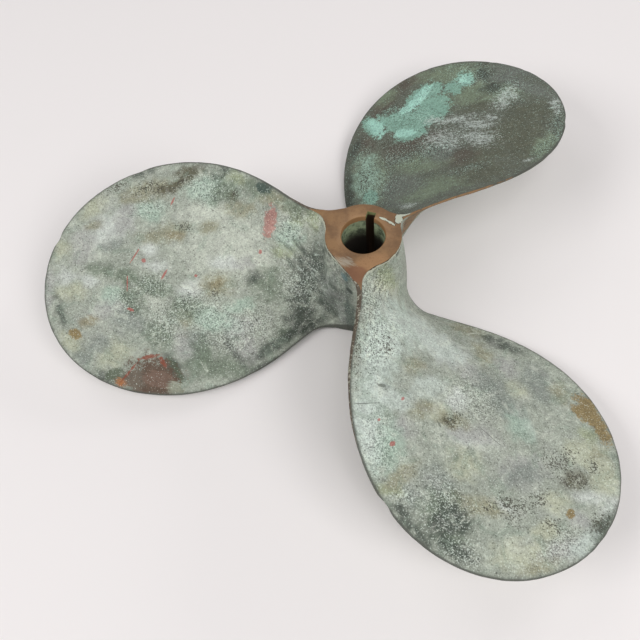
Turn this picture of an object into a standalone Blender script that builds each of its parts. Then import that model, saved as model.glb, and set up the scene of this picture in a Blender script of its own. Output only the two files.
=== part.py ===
# Three-blade boat propeller, left-handed, cast in one piece of bronze. Metres, +Z along the shaft's axis
# towards the small end of the tapered bore. The origin is on the axis, at the casting's centre of mass.
import math

import bmesh
import bpy
import numpy as np
from mathutils import Matrix

# Blade
DIAMETER = 0.508                 # twenty inches over the tips
TIP_RADIUS = DIAMETER / 2
BLADE_AZIMUTHS = (60.0, 180.0, 300.0)    # degrees, seen from the small end, counter-clockwise from +X
PITCH = 0.366                    # advance per turn of the pressure face at REFERENCE_SHARE of the tip radius
REFERENCE_SHARE = 0.6
PITCH_FALL = 0.31                # share of the pitch lost from the axis to the tip
WIDTH_SHARES = (0.15, 0.30, 0.45, 0.60, 0.75, 0.90)         # of the tip radius
HALF_WIDTHS = (0.0500, 0.0640, 0.0835, 0.0955, 0.0955, 0.0735)   # along the helix, at those shares
TIP_FULLNESS = 0.268             # half width near the tip over the square root of what is left of the radius
SWEEP_ROOT, SWEEP_TIP = -0.004, 0.007    # how far the section's middle lies to the trailing side
MIDDLE_BELOW_TOP = 0.0398        # section's middle below the hub's top face, at RAKE_FROM
RAKE_FROM = 0.2 * TIP_RADIUS
RAKE = 0.045                     # fall of the section's middle per metre of radius
EDGE_AT_AXIS, EDGE_AT_TIP = 0.0044, 0.0015       # thickness of the blade's rim
CROWN_AT_AXIS = 0.0135           # what the middle of a section is thicker than its rim

# Hub
HUB_LENGTH = 0.0870
HUB_TOP_RADIUS, HUB_BOTTOM_RADIUS = 0.0276, 0.0335
HUB_BULGE = 0.0020               # how far the barrel's side swells out between its ends
BORE_TOP_RADIUS = 0.0160
BORE_TAPER = 1 / 16              # on the diameter
KEYWAY_WIDTH, KEYWAY_DEPTH = 0.0066, 0.0052
KEYWAY_AZIMUTH = 70.0            # degrees
PRESSURE_FILLET = (0.012, 0.022)         # between the aft face and the barrel, at the hub's top and bottom
SUCTION_FILLETS = ((0.010, 0.012), (0.012, 0.018), (0.020, 0.018))       # the same behind each blade
FILLET_SINK = 0.0006             # how far a fillet runs on into the barrel's side
ROOT_DRAW = 2.0                  # how fast a blade's root narrows again under the barrel's skin
BORE_EDGE_BREAK = 0.0005         # chamfer at the bore's small end
CENTRE_BELOW_TOP = 0.0462        # centre of mass below the hub's top face

# Mesh
ROOT_RADIUS = 0.0235             # where a blade's surface starts, inside the barrel's wall
STATIONS, ACROSS = 30, 14
TURNED_STEPS = 72
BARREL_RINGS = 8
FACING = 0.004                   # what is left on the hub's ends for facing
MERGE = 0.00001

TOP_Z = CENTRE_BELOW_TOP
BOTTOM_Z = TOP_Z - HUB_LENGTH


def clear_scene():
    for thing in list(bpy.data.objects):
        bpy.data.objects.remove(thing, do_unlink=True)


def new_collection(name):
    group = bpy.data.collections.new(name)
    bpy.context.scene.collection.children.link(group)
    return group


def bronze():
    """Old cast bronze under a dull grey-green patina."""
    material = bpy.data.materials.new("patinated bronze")
    material.use_nodes = True
    shader = material.node_tree.nodes["Principled BSDF"]
    shader.inputs["Base Color"].default_value = (0.34, 0.40, 0.35, 1.0)
    shader.inputs["Roughness"].default_value = 0.62
    shader.inputs["Metallic"].default_value = 0.35
    return material


def mesh_object(name, mesh, group):
    thing = bpy.data.objects.new(name, mesh)
    group.objects.link(thing)
    return thing


def half_width(share):
    """Half the blade's width along the helix; the square root closes it to a round tip."""
    left = np.sqrt(1 - np.append(WIDTH_SHARES, 0.0))
    fullness = np.append(HALF_WIDTHS / left[:-1], TIP_FULLNESS)
    curve = np.polyfit(np.append(WIDTH_SHARES, 1.0), fullness, len(WIDTH_SHARES))
    return float(np.polyval(curve, share)) * math.sqrt(max(1 - share, 0))


def helix_angle(radius):
    pitch = PITCH * (1 - PITCH_FALL * (radius / TIP_RADIUS - REFERENCE_SHARE))
    return math.atan2(pitch, math.tau * radius)


def share_down(z):
    """Share of the hub's length between its top face and a height."""
    return min(max((TOP_Z - z) / HUB_LENGTH, 0.0), 1.0)


def barrel_radius(z):
    """Radius of the hub's tapered, slightly swollen side at a height."""
    down = share_down(z)
    straight = HUB_TOP_RADIUS + (HUB_BOTTOM_RADIUS - HUB_TOP_RADIUS) * down
    return straight + HUB_BULGE * math.sin(math.pi * down)


def flare(radius, z, fillets):
    """How far a blade's face stands out on the round fillet that joins it to the barrel."""
    fillet = fillets[0] + (fillets[1] - fillets[0]) * share_down(z)
    clear = radius - barrel_radius(z) + FILLET_SINK
    left = min(max(fillet - clear, 0.0), fillet)
    out = fillet - math.sqrt(fillet * fillet - left * left)
    return max(out + ROOT_DRAW * min(clear, 0.0), 0.0)


def blade_point(blade, radius, across, suction):
    """A point of one blade's face. across runs from -1 at the leading edge to 1 at the trailing edge."""
    share = radius / TIP_RADIUS
    angle = helix_angle(radius)
    middle = SWEEP_ROOT + (SWEEP_TIP - SWEEP_ROOT) * share
    along = middle + across * half_width(share)
    edge = EDGE_AT_AXIS + (EDGE_AT_TIP - EDGE_AT_AXIS) * share
    thick = edge + CROWN_AT_AXIS * (1 - share) * (1 - across * across)
    deep = thick if suction else 0.0
    z = TOP_Z - MIDDLE_BELOW_TOP - RAKE * (radius - RAKE_FROM) + along * math.sin(angle) - deep * math.cos(angle)
    around = -along * math.cos(angle) - deep * math.sin(angle)
    around += -flare(radius, z, SUCTION_FILLETS[blade]) if suction else flare(radius, z, PRESSURE_FILLET)
    turn = math.radians(BLADE_AZIMUTHS[blade]) + around / radius
    return (radius * math.cos(turn), radius * math.sin(turn), z)


def station_radii():
    """Radii of the sections: close together in the fillets and towards the tip."""
    eased = [0.5 - 0.5 * math.cos(math.pi * step / STATIONS) for step in range(STATIONS + 1)]
    return [ROOT_RADIUS + (TIP_RADIUS - ROOT_RADIUS) * share for share in eased]


def make_blade(name, blade, group):
    """A loft through sections that lie on cylinders about the axis, from inside the hub to the tip."""
    shape = bmesh.new()
    rings = []
    for radius in station_radii():
        spread = [-math.cos(math.pi * step / ACROSS) for step in range(ACROSS + 1)]
        pressure = [shape.verts.new(blade_point(blade, radius, u, False)) for u in spread]
        suction = [shape.verts.new(blade_point(blade, radius, u, True)) for u in spread]
        rings.append(pressure + suction[::-1])
    count = len(rings[0])
    for inner, outer in zip(rings[:-1], rings[1:]):
        for k in range(count):
            after = (k + 1) % count
            shape.faces.new((inner[k], inner[after], outer[after], outer[k]))
    root = rings[0]
    for k in range(ACROSS):
        shape.faces.new((root[k], root[count - 1 - k], root[count - 2 - k], root[k + 1]))
    bmesh.ops.remove_doubles(shape, verts=shape.verts, dist=MERGE)
    bmesh.ops.recalc_face_normals(shape, faces=shape.faces)
    mesh = bpy.data.meshes.new(name)
    shape.to_mesh(mesh)
    shape.free()
    return mesh_object(name, mesh, group)


def turned(name, profile, group):
    """A solid turned about +Z from its outer side, listed from top to bottom."""
    mesh = bpy.data.meshes.new(name)
    mesh.from_pydata([(x, 0.0, z) for x, z in profile], [(k, k + 1) for k in range(len(profile) - 1)], [])
    thing = mesh_object(name, mesh, group)
    screw = thing.modifiers.new("turn", "SCREW")
    screw.steps = TURNED_STEPS
    screw.render_steps = TURNED_STEPS
    screw.use_merge_vertices = True
    screw.merge_threshold = MERGE
    return thing


def hub_profile():
    """The barrel before its ends are faced: a little longer than the hub at each end."""
    profile = [(0.0, TOP_Z + FACING)]
    for ring in range(BARREL_RINGS + 1):
        z = TOP_Z + FACING - (HUB_LENGTH + 2 * FACING) * ring / BARREL_RINGS
        profile.append((barrel_radius(z), z))
    profile.append((0.0, BOTTOM_Z - FACING))
    return profile


def bore_radius(z):
    return BORE_TOP_RADIUS + (TOP_Z - z) * BORE_TAPER / 2


def bore_profile():
    """The tapered bore with the edge break at its small end, running past both faces."""
    over = FACING * 2
    wide = bore_radius(TOP_Z) + BORE_EDGE_BREAK
    below = TOP_Z - BORE_EDGE_BREAK
    return [(0.0, TOP_Z + over), (wide + over, TOP_Z + over), (bore_radius(below), below),
            (bore_radius(BOTTOM_Z - over), BOTTOM_Z - over), (0.0, BOTTOM_Z - over)]


def box(name, low, high, group, spin=Matrix.Identity(4)):
    bpy.ops.mesh.primitive_cube_add(size=1.0)
    thing = bpy.context.active_object
    thing.name = name
    for home in list(thing.users_collection):
        home.objects.unlink(thing)
    group.objects.link(thing)
    size = [b - a for a, b in zip(low, high)]
    middle = [(a + b) / 2 for a, b in zip(low, high)]
    thing.data.transform(Matrix.Translation(middle) @ Matrix.Diagonal((*size, 1.0)))
    thing.data.transform(spin)
    return thing


def keyway_cutter(group):
    """A slot from the axis out past the bore's wall, its floor parallel to the taper."""
    over = FACING * 2
    outer = bore_radius(BOTTOM_Z + HUB_LENGTH / 2) + KEYWAY_DEPTH
    middle_z = BOTTOM_Z + HUB_LENGTH / 2
    lean = math.atan(BORE_TAPER / 2)
    half = HUB_LENGTH / 2 + over
    spin = (Matrix.Rotation(math.radians(KEYWAY_AZIMUTH), 4, "Z") @ Matrix.Translation((outer, 0.0, middle_z))
            @ Matrix.Rotation(-lean, 4, "Y"))
    low = (-outer, -KEYWAY_WIDTH / 2, -half)
    high = (0.0, KEYWAY_WIDTH / 2, half)
    return box("keyway cutter", low, high, group, spin)


def facing_cutters(group):
    """Blocks that face the casting off flat at the hub's two ends, over the blades too."""
    wide, tall = DIAMETER, 0.03
    top = box("top facing cutter", (-wide, -wide, TOP_Z), (wide, wide, TOP_Z + tall), group)
    bottom = box("bottom facing cutter", (-wide, -wide, BOTTOM_Z - tall), (wide, wide, BOTTOM_Z), group)
    return top, bottom


def combine(target, tool, operation):
    tool.hide_render = True
    tool.display_type = "WIRE"
    modifier = target.modifiers.new(f"{operation.lower()} {tool.name}", "BOOLEAN")
    modifier.operation = operation
    modifier.solver = "EXACT"
    modifier.object = tool


def build():
    clear_scene()
    parts = new_collection("boat propeller")
    tools = new_collection("cutters")
    casting = turned("propeller_casting", hub_profile(), parts)
    casting.data.materials.append(bronze())
    for blade in range(len(BLADE_AZIMUTHS)):
        combine(casting, make_blade(f"blade {blade + 1}", blade, tools), "UNION")
    for cutter in facing_cutters(tools):
        combine(casting, cutter, "DIFFERENCE")
    combine(casting, turned("bore cutter", bore_profile(), tools), "DIFFERENCE")
    combine(casting, keyway_cutter(tools), "DIFFERENCE")


build()
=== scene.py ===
import math

import bmesh
import bpy
import numpy as np
from mathutils import Matrix, Vector, noise


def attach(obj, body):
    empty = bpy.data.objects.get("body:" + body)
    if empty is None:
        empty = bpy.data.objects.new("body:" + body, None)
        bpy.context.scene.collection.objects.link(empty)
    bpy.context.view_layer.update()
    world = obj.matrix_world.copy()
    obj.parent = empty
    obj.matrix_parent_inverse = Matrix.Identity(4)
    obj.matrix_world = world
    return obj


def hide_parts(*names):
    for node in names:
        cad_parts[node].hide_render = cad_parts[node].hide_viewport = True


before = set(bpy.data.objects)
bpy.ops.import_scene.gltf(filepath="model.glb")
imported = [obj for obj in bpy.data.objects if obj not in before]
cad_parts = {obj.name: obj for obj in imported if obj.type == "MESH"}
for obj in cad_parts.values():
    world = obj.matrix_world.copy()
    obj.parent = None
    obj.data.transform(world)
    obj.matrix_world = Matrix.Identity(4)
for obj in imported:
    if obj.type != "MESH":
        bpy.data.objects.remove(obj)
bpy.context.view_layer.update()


# The casting's shape: three round-tipped blades on a short tapered hub, poured in one piece in sand.
# The blades' faces are screw surfaces; they run into the barrel through cast fillets, and the hub's ends,
# the tapered bore and its keyway were machined afterwards.
TIP_RADIUS = 0.254
BLADE_AZIMUTHS = (60.0, 180.0, 300.0)
# The pitch at six tenths of the radius, and how much of it is lost from the axis to the tip.
PITCH, PITCH_SHARE = 0.366, 0.6
PITCH_FALL = 0.31
WIDTH_SHARES = (0.15, 0.30, 0.45, 0.60, 0.75, 0.90)
HALF_WIDTHS = (0.0500, 0.0640, 0.0835, 0.0955, 0.0955, 0.0735)
TIP_FULLNESS = 0.268
SWEEP_ROOT, SWEEP_TIP = -0.004, 0.007
TOP_Z = 0.0462
BOTTOM_Z = -0.0408
HUB_LENGTH = TOP_Z - BOTTOM_Z
BARREL_TOP, BARREL_SPREAD, BARREL_BELLY = 0.0276, 0.0059, 0.0020
# How far a blade's middle lies below the hub's top at a fifth of the radius, and how much it sinks per metre.
BLADE_DROP, DROP_SHARE, RAKE = 0.0398, 0.2, 0.045
EDGE_AT_AXIS, EDGE_AT_TIP = 0.0044, 0.0015
CROWN_AT_AXIS = 0.0135
PRESSURE_FILLET = (0.012, 0.022)
SUCTION_FILLETS = ((0.007, 0.010), (0.012, 0.018), (0.020, 0.018))
FILLET_OVERRUN = 0.0003
ROOT_RADIUS = 0.0235
ROOT_SHARE = ROOT_RADIUS / TIP_RADIUS
BLADE_CELLS = 112
# The rows of cells crowd towards the root: by how much of the blade's length, and over what share of it.
CROWDING, CROWDING_REACH = 0.084, 0.12
EDGE_ROLL = 0.0005
TOUCHING = 0.00001
HIGH_EDGE_THINNED = (0.68, 0.0, 0.0)


def width_curve():
    """The half width over the square root of what is left of the radius, as a curve of the radius."""
    left = np.sqrt(1 - np.append(WIDTH_SHARES, 0.0))
    fullness = np.append(HALF_WIDTHS / left[:-1], TIP_FULLNESS)
    return np.polyfit(np.append(WIDTH_SHARES, 1.0), fullness, len(WIDTH_SHARES))


WIDTH_CURVE = width_curve()


def helix_angle(radius):
    pitch = PITCH * (1 - PITCH_FALL * (radius / TIP_RADIUS - PITCH_SHARE))
    return math.atan2(pitch, math.tau * radius)


def section_middle(radius):
    """Height of a section's middle, and how far it is swept to the trailing side."""
    middle_z = TOP_Z - BLADE_DROP - RAKE * (radius - DROP_SHARE * TIP_RADIUS)
    return middle_z, SWEEP_ROOT + (SWEEP_TIP - SWEEP_ROOT) * (radius / TIP_RADIUS)


def barrel_radius(z):
    down = min(max((TOP_Z - z) / HUB_LENGTH, 0.0), 1.0)
    return BARREL_TOP + BARREL_SPREAD * down + BARREL_BELLY * math.sin(math.pi * down)


def flare(radius, z, fillets):
    """How far a face stands out on the fillet that joins it to the barrel."""
    down = min(max((TOP_Z - z) / HUB_LENGTH, 0.0), 1.0)
    fillet = fillets[0] + (fillets[1] - fillets[0]) * down
    clear = radius - barrel_radius(z) + FILLET_OVERRUN
    left = min(max(fillet - clear, 0.0), fillet)
    out = fillet - math.sqrt(fillet * fillet - left * left)
    return max(out + 2.0 * min(clear, 0.0), 0.0)


def smooth_step(share):
    share = min(max(share, 0.0), 1.0)
    return share * share * (3 - 2 * share)


def blade_point(blade, x, y, behind):
    """A point of a blade from its place in a half disc: y runs from root to tip, the rim is the circle."""
    share = ROOT_SHARE + (1 - ROOT_SHARE) * y
    radius = share * TIP_RADIUS
    angle = helix_angle(radius)
    middle_z, sweep = section_middle(radius)
    width = float(np.polyval(WIDTH_CURVE, share)) * math.sqrt((1 - ROOT_SHARE) / (1 + y))
    along = sweep + x * width
    thick = EDGE_AT_AXIS + (EDGE_AT_TIP - EDGE_AT_AXIS) * share
    thick += CROWN_AT_AXIS * (1 - ROOT_SHARE) * max(1 - y - x * x / (1 + y), 0.0)
    thick *= 1 - HIGH_EDGE_THINNED[blade] * smooth_step(1.3 * x) * (1 - y)
    deep = thick if behind else 0.0
    z = middle_z + along * math.sin(angle) - deep * math.cos(angle)
    around = -along * math.cos(angle) - deep * math.sin(angle)
    around += -flare(radius, z, SUCTION_FILLETS[blade]) if behind else flare(radius, z, PRESSURE_FILLET)
    turn = math.radians(BLADE_AZIMUTHS[blade]) + around / radius
    return Vector((radius * math.cos(turn), radius * math.sin(turn), z))


def blade_body(blade):
    """A grid bent to the half disc, doubled to the back face, with its rim rolled over."""
    shape = bmesh.new()
    bmesh.ops.create_grid(shape, x_segments=BLADE_CELLS, y_segments=BLADE_CELLS, size=1.0)
    place = {}
    for vert in shape.verts:
        u, row = vert.co.x, (vert.co.y + 1) / 2
        v = (row - CROWDING * (1 - math.exp(-row / CROWDING_REACH))) / (1 - CROWDING)
        place[vert] = (u * math.sqrt(1 - v * v / 2), v * math.sqrt(1 - u * u / 2))
    front = list(shape.verts)
    made = bmesh.ops.extrude_face_region(shape, geom=list(shape.faces), use_keep_orig=True)["geom"]
    back = [item for item in made if isinstance(item, bmesh.types.BMVert)]
    # The copies still lie on their originals, and so take the places of those.
    lookup = {tuple(round(c, 6) for c in vert.co): place[vert] for vert in front}
    for vert in back:
        place[vert] = lookup[tuple(round(c, 6) for c in vert.co)]
    for vert in front:
        vert.co = blade_point(blade, *place[vert], False)
    for vert in back:
        vert.co = blade_point(blade, *place[vert], True)
    bmesh.ops.recalc_face_normals(shape, faces=shape.faces)
    rim = [edge for edge in shape.edges if edge.calc_face_angle(0.0) > 1.0
           and all(abs(math.hypot(*place[v]) - 1) < 0.001 for v in edge.verts)]
    bmesh.ops.bevel(shape, geom=rim, offset=EDGE_ROLL, segments=2, affect="EDGES", profile=0.5, material=-1)
    mesh = bpy.data.meshes.new(f"blade {blade}")
    shape.to_mesh(mesh)
    shape.free()
    return mesh


def turned_body(name, outline, steps):
    """A solid turned about the shaft's axis from its outline, a list of radius and height."""
    shape = bmesh.new()
    points = [shape.verts.new((radius, 0.0, z)) for radius, z in outline]
    lines = [shape.edges.new(pair) for pair in zip(points[:-1], points[1:])]
    bmesh.ops.spin(shape, geom=points + lines, cent=(0, 0, 0), axis=(0, 0, 1), angle=math.tau, steps=steps,
                   use_merge=True)
    bmesh.ops.remove_doubles(shape, verts=shape.verts, dist=TOUCHING)
    bmesh.ops.recalc_face_normals(shape, faces=shape.faces)
    mesh = bpy.data.meshes.new(name)
    shape.to_mesh(mesh)
    shape.free()
    return mesh


BORE_TOP = 0.0160
BORE_TAPER = 1 / 32
KEYWAY_WIDTH, KEYWAY_DEPTH, KEYWAY_AZIMUTH = 0.0066, 0.0052, 70.0
# The bore's small end is broken by a chamfer: its size, and how much the taper has widened at its foot.
CHAMFER, GROWN = 0.0005, 0.0000156
# How far the bore and key seat tools stand out at each end, and what is cast on each end to be faced off.
OVER = 0.008
SPARE = 0.004
FACING_REACH, FACING_DEPTH = 0.3, 0.03
BARREL_RINGS, BARREL_STEPS, BORE_STEPS = 52, 176, 96


def block(name, low, high, spin=Matrix.Identity(4)):
    """A box between two corners, then turned and moved."""
    shape = bmesh.new()
    bmesh.ops.create_cube(shape, size=1.0)
    size = [b - a for a, b in zip(low, high)]
    middle = [(a + b) / 2 for a, b in zip(low, high)]
    bmesh.ops.transform(shape, matrix=spin @ Matrix.Translation(middle) @ Matrix.Diagonal((*size, 1.0)),
                        verts=shape.verts)
    mesh = bpy.data.meshes.new(name)
    shape.to_mesh(mesh)
    shape.free()
    return mesh


def rough_casting():
    """The hub's barrel with its blades, faced at both ends, bored on a taper and slotted for the key."""
    cast_length = HUB_LENGTH + 2 * SPARE
    heights = [TOP_Z + SPARE - cast_length * k / BARREL_RINGS for k in range(BARREL_RINGS + 1)]
    outline = [(0.0, heights[0])] + [(barrel_radius(z), z) for z in heights] + [(0.0, heights[-1])]
    casting = bpy.data.objects.new("casting", turned_body("casting", outline, BARREL_STEPS))
    bpy.context.scene.collection.objects.link(casting)
    mouth = BORE_TOP + CHAMFER
    bore = [(0.0, TOP_Z + OVER), (mouth + OVER, TOP_Z + OVER), (BORE_TOP + GROWN, TOP_Z - CHAMFER),
            (BORE_TOP + (HUB_LENGTH + OVER) * BORE_TAPER, BOTTOM_Z - OVER), (0.0, BOTTOM_Z - OVER)]
    deepest = BORE_TOP + HUB_LENGTH / 2 * BORE_TAPER + KEYWAY_DEPTH
    seat = (Matrix.Rotation(math.radians(KEYWAY_AZIMUTH), 4, "Z")
            @ Matrix.Translation((deepest, 0.0, (TOP_Z + BOTTOM_Z) / 2))
            @ Matrix.Rotation(-math.atan(BORE_TAPER), 4, "Y"))
    half = HUB_LENGTH / 2 + OVER
    tools = [(blade_body(blade), "UNION") for blade in range(3)]
    for name, low, high in (("top facing", TOP_Z, TOP_Z + FACING_DEPTH),
                            ("bottom facing", BOTTOM_Z - FACING_DEPTH, BOTTOM_Z)):
        corners = (-FACING_REACH, -FACING_REACH, low), (FACING_REACH, FACING_REACH, high)
        tools.append((block(name, *corners), "DIFFERENCE"))
    tools.append((turned_body("bore", bore, BORE_STEPS), "DIFFERENCE"))
    tools.append((block("key seat", (-deepest, -KEYWAY_WIDTH / 2, -half), (0, KEYWAY_WIDTH / 2, half), seat),
                  "DIFFERENCE"))
    helpers = []
    for mesh, operation in tools:
        helper = bpy.data.objects.new(mesh.name, mesh)
        bpy.context.scene.collection.objects.link(helper)
        helpers.append(helper)
        cut = casting.modifiers.new(mesh.name, "BOOLEAN")
        cut.operation = operation
        cut.solver = "EXACT"
        cut.object = helper
    graph = bpy.context.evaluated_depsgraph_get()
    shape = bmesh.new()
    shape.from_mesh(casting.evaluated_get(graph).to_mesh())
    for thing in helpers + [casting]:
        bpy.data.objects.remove(thing, do_unlink=True)
    return shape


def places(points):
    """Where points lie on the blades, as arrays, in metres: distance along the section and half its width,
    depth behind the front face as a share of the thickness, which blade, distance inside the rim, distance
    outside the barrel, and radius."""
    x, y, z = points.T
    radius = np.hypot(x, y)
    share = np.clip(radius, ROOT_RADIUS, TIP_RADIUS) / TIP_RADIUS
    angle = np.arctan2(PITCH * (1 - PITCH_FALL * (share - PITCH_SHARE)), math.tau * share * TIP_RADIUS)
    middle_z = TOP_Z - BLADE_DROP - RAKE * TIP_RADIUS * (share - DROP_SHARE)
    sweep = SWEEP_ROOT + (SWEEP_TIP - SWEEP_ROOT) * share

    def half_squared(at):
        return np.polyval(WIDTH_CURVE, at) ** 2 * (1 - at)

    squared = half_squared(share)
    step = 0.002
    slope = (half_squared(share + step) - half_squared(share - step)) / (2 * step * TIP_RADIUS)
    half = np.sqrt(np.maximum(squared, 1e-8))
    best = np.full(len(points), np.inf)
    found = np.zeros((3, len(points)))
    for blade, azimuth in enumerate(BLADE_AZIMUTHS):
        turn = (np.arctan2(y, x) - math.radians(azimuth) + math.pi) % math.tau - math.pi
        around = turn * radius
        along = (z - middle_z) * np.sin(angle) - around * np.cos(angle) - sweep
        deep = -around * np.sin(angle) - (z - middle_z) * np.cos(angle)
        thick = EDGE_AT_AXIS + (EDGE_AT_TIP - EDGE_AT_AXIS) * share
        thick += CROWN_AT_AXIS * (1 - share) * np.maximum(1 - (along / half) ** 2, 0)
        off = np.abs(deep - thick / 2) + np.maximum(np.abs(along) - half, 0)
        near = off < best
        best[near] = off[near]
        found[0][near] = along[near]
        found[1][near] = (deep / thick)[near]
        found[2][near] = blade
    along, depth, blade = found
    inside = (squared - along ** 2) / np.sqrt(4 * along ** 2 + slope ** 2 + 1e-6)
    barrel = np.array([barrel_radius(height) for height in z])
    return {"along": along, "half": half, "depth": depth, "blade": blade, "inside": inside,
            "clear": radius - barrel, "radius": radius}


# Wear on the casting: it was hit along its rims, scoured and pitted, and the sand left its faces uneven.
# Each knock is its place on the plan view, how wide it is and how deep it goes into the rim, in millimetres;
# each groove is its place, half length, half width, turn and depth.
KNOCKS = ((-245, 41, 5, 1.4), (-177, 87, 6, 1.2), (5, -189, 5, 1.6), (168, 120, 5, 0.8), (-120, -87, 5, 0.6))
GROOVES = ((-105, -49, 12, 1.6, -55, 0.7), (-3, -126, 10, 0.8, 10, 0.3))
MM = 0.001
NEARLY_TOUCHING, SLIVER = 0.12 * MM, 0.05 * MM
FACE_MARGIN, WALL_MARGIN = 0.0003, 0.0006
# The seam between blades and barrel: points this near a line just outside the barrel are smoothed, away from
# the hub's ends.
SEAM_CLEAR, SEAM_REACH, SEAM_ENDS, SEAM_PASSES = 0.001, 0.004, 0.002, 8
# The rim is worn within this band, towards this radius on the blade's middle line.
RIM_BAND = 0.008
BLADE_HEART = 0.15


def cleaned(shape):
    """Merges points that nearly coincide, and gives the points' places and which lie on machined faces."""
    bmesh.ops.remove_doubles(shape, verts=shape.verts, dist=NEARLY_TOUCHING)
    bmesh.ops.dissolve_degenerate(shape, edges=shape.edges, dist=SLIVER)
    bmesh.ops.triangulate(shape, faces=[f for f in shape.faces if len(f.verts) > 4])
    points = np.array([vert.co[:] for vert in shape.verts])
    place = places(points)
    z = points[:, 2]
    bore = BORE_TOP + (TOP_Z - z) * BORE_TAPER + KEYWAY_DEPTH + WALL_MARGIN
    return place, (z > TOP_Z - FACE_MARGIN) | (z < BOTTOM_Z + FACE_MARGIN) | (place["radius"] < bore)


def worn(shape):
    """Moves the casting's points for its wear; machined faces keep their planes."""
    place, cut = cleaned(shape)
    seam = [vert for vert, machined, clear in zip(shape.verts, cut, place["clear"])
            if not machined and abs(clear - SEAM_CLEAR) < SEAM_REACH
            and BOTTOM_Z + SEAM_ENDS < vert.co.z < TOP_Z - SEAM_ENDS]
    for _ in range(SEAM_PASSES):
        bmesh.ops.smooth_vert(shape, verts=seam, factor=0.5,
                              use_axis_x=True, use_axis_y=True, use_axis_z=True)
    place, cut = cleaned(shape)
    shape.normal_update()
    for vert, machined, inside, blade in zip(shape.verts, cut, place["inside"], place["blade"]):
        if machined:
            continue
        at = vert.co.copy()
        uneven = 0.30 * MM * noise.noise(at / 0.045) + 0.10 * MM * noise.noise(at / 0.011)
        pit = max(noise.noise(at / 0.006 + Vector((7, 3, 1))) - 0.42, 0) * 0.8 * MM
        away = 0.0
        for x, y, long, wide, turn, deep in GROOVES:
            flat = Matrix.Rotation(-math.radians(turn), 2) @ (at.xy - Vector((x, y)) * MM)
            reach = (flat.x / (long * MM)) ** 2 + (flat.y / (wide * MM)) ** 2
            away += deep * MM * math.exp(-reach)
        vert.co += vert.normal * (uneven - pit - away * (vert.normal.z > 0.3))
        if inside < RIM_BAND:
            azimuth = math.radians(BLADE_AZIMUTHS[int(blade)])
            heart = Vector((BLADE_HEART * math.cos(azimuth), BLADE_HEART * math.sin(azimuth), at.z))
            inward = (heart - at).normalized()
            wear = 0.35 * MM * max(noise.noise(at / 0.009), 0)
            wear += 0.5 * MM * max(noise.noise(at / 0.03) - 0.2, 0)
            for x, y, wide, deep in KNOCKS:
                wear += deep * MM * math.exp(-((at.x / MM - x) ** 2 + (at.y / MM - y) ** 2) / wide ** 2)
            vert.co += inward * wear * (1 - max(inside, 0) / RIM_BAND)
    bmesh.ops.recalc_face_normals(shape, faces=shape.faces)


shape = rough_casting()
worn(shape)
mesh = bpy.data.meshes.new("propeller")
# Material 0 is the patina, 1 the faced ends, 2 the wall of the bore and key seat.
SLACK = 0.0001
for face in shape.faces:
    face.smooth = True
    middle = face.calc_center_median()
    reach = math.hypot(middle.x, middle.y)
    bore = BORE_TOP + (TOP_Z - middle.z) * BORE_TAPER
    key = Matrix.Rotation(-math.radians(KEYWAY_AZIMUTH), 3, "Z") @ middle
    in_key = abs(key.y) < KEYWAY_WIDTH / 2 + SLACK and 0 < key.x < bore + KEYWAY_DEPTH + FACE_MARGIN
    if abs(face.normal.z) > 0.9 and min(abs(middle.z - TOP_Z), abs(middle.z - BOTTOM_Z)) < SLACK:
        face.material_index = 1
    elif reach < bore + WALL_MARGIN or in_key:
        face.material_index = 2
shape.to_mesh(mesh)
shape.free()
SHARP_ANGLE = math.radians(48)
mesh.set_sharp_from_angle(angle=SHARP_ANGLE)
points = np.empty(len(mesh.vertices) * 3)
mesh.vertices.foreach_get("co", points)
place = places(points.reshape(-1, 3))


def keep(name, values):
    """Keeps a value for each point on the mesh, for the shader to read."""
    layer = mesh.attributes.new(name, "FLOAT", "POINT")
    layer.data.foreach_set("value", np.asarray(values, dtype=np.float32))


HUB_BLEND = 0.006
off_hub = np.clip(place["clear"] / HUB_BLEND, 0, 1)
hub_mm = place["clear"] / MM
blade = place["blade"].astype(int)
behind = np.clip(place["depth"], 0, 1)
keep("front", (place["depth"] < 0.5) * off_hub)
keep("rim_mm", np.clip(place["inside"], 0, 0.05) / MM)
keep("pale", 1 - (place["blade"] == 0) * off_hub)
# The bare band along each blade's high edge, blade by blade: its width, where it starts to thin out and where
# it ends, all in millimetres, how much of it the edge's back and front lose, and how bright the metal is.
BARE = np.array([(1.8, 30.0, 130.0, 0.3, 0.0, 0.75), (2.0, 10.0, 80.0, 0.2, 0.2, 0.15),
                 (1.6, 60.0, 200.0, 0.0, 0.30, -0.1)])
width, thins, ends, back_loss, front_loss, bright = BARE[blade].T
bare_and_shade = 1 - (place["half"] - place["along"]) / MM / width - np.clip((hub_mm - thins) / (ends - thins), 0, 1)
bare_and_shade -= back_loss * behind + front_loss * (1 - behind) + 2.0 * (hub_mm < 2.5)
# Painted shade: the sheltered blade's back behind its root, on faces turned from the top, takes the bare
# metal's brown as well, standing in for the shade there: where on the plan view and how far round that, in
# millimetres, and the height where this patch starts to fade downwards and over what height it does.
PAINTED_SHADE_X, PAINTED_SHADE_Y, PAINTED_SHADE_REACH = 39, 23, 12
PAINTED_SHADE_HEIGHT, PAINTED_SHADE_FADE = 0.014, 0.012
upward = np.array([vert.normal.z for vert in mesh.vertices])
from_root = np.hypot(points[0::3] / MM - PAINTED_SHADE_X, points[1::3] / MM - PAINTED_SHADE_Y) / PAINTED_SHADE_REACH
from_root += np.clip((PAINTED_SHADE_HEIGHT - points[2::3]) / PAINTED_SHADE_FADE, 0, 1)
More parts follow.
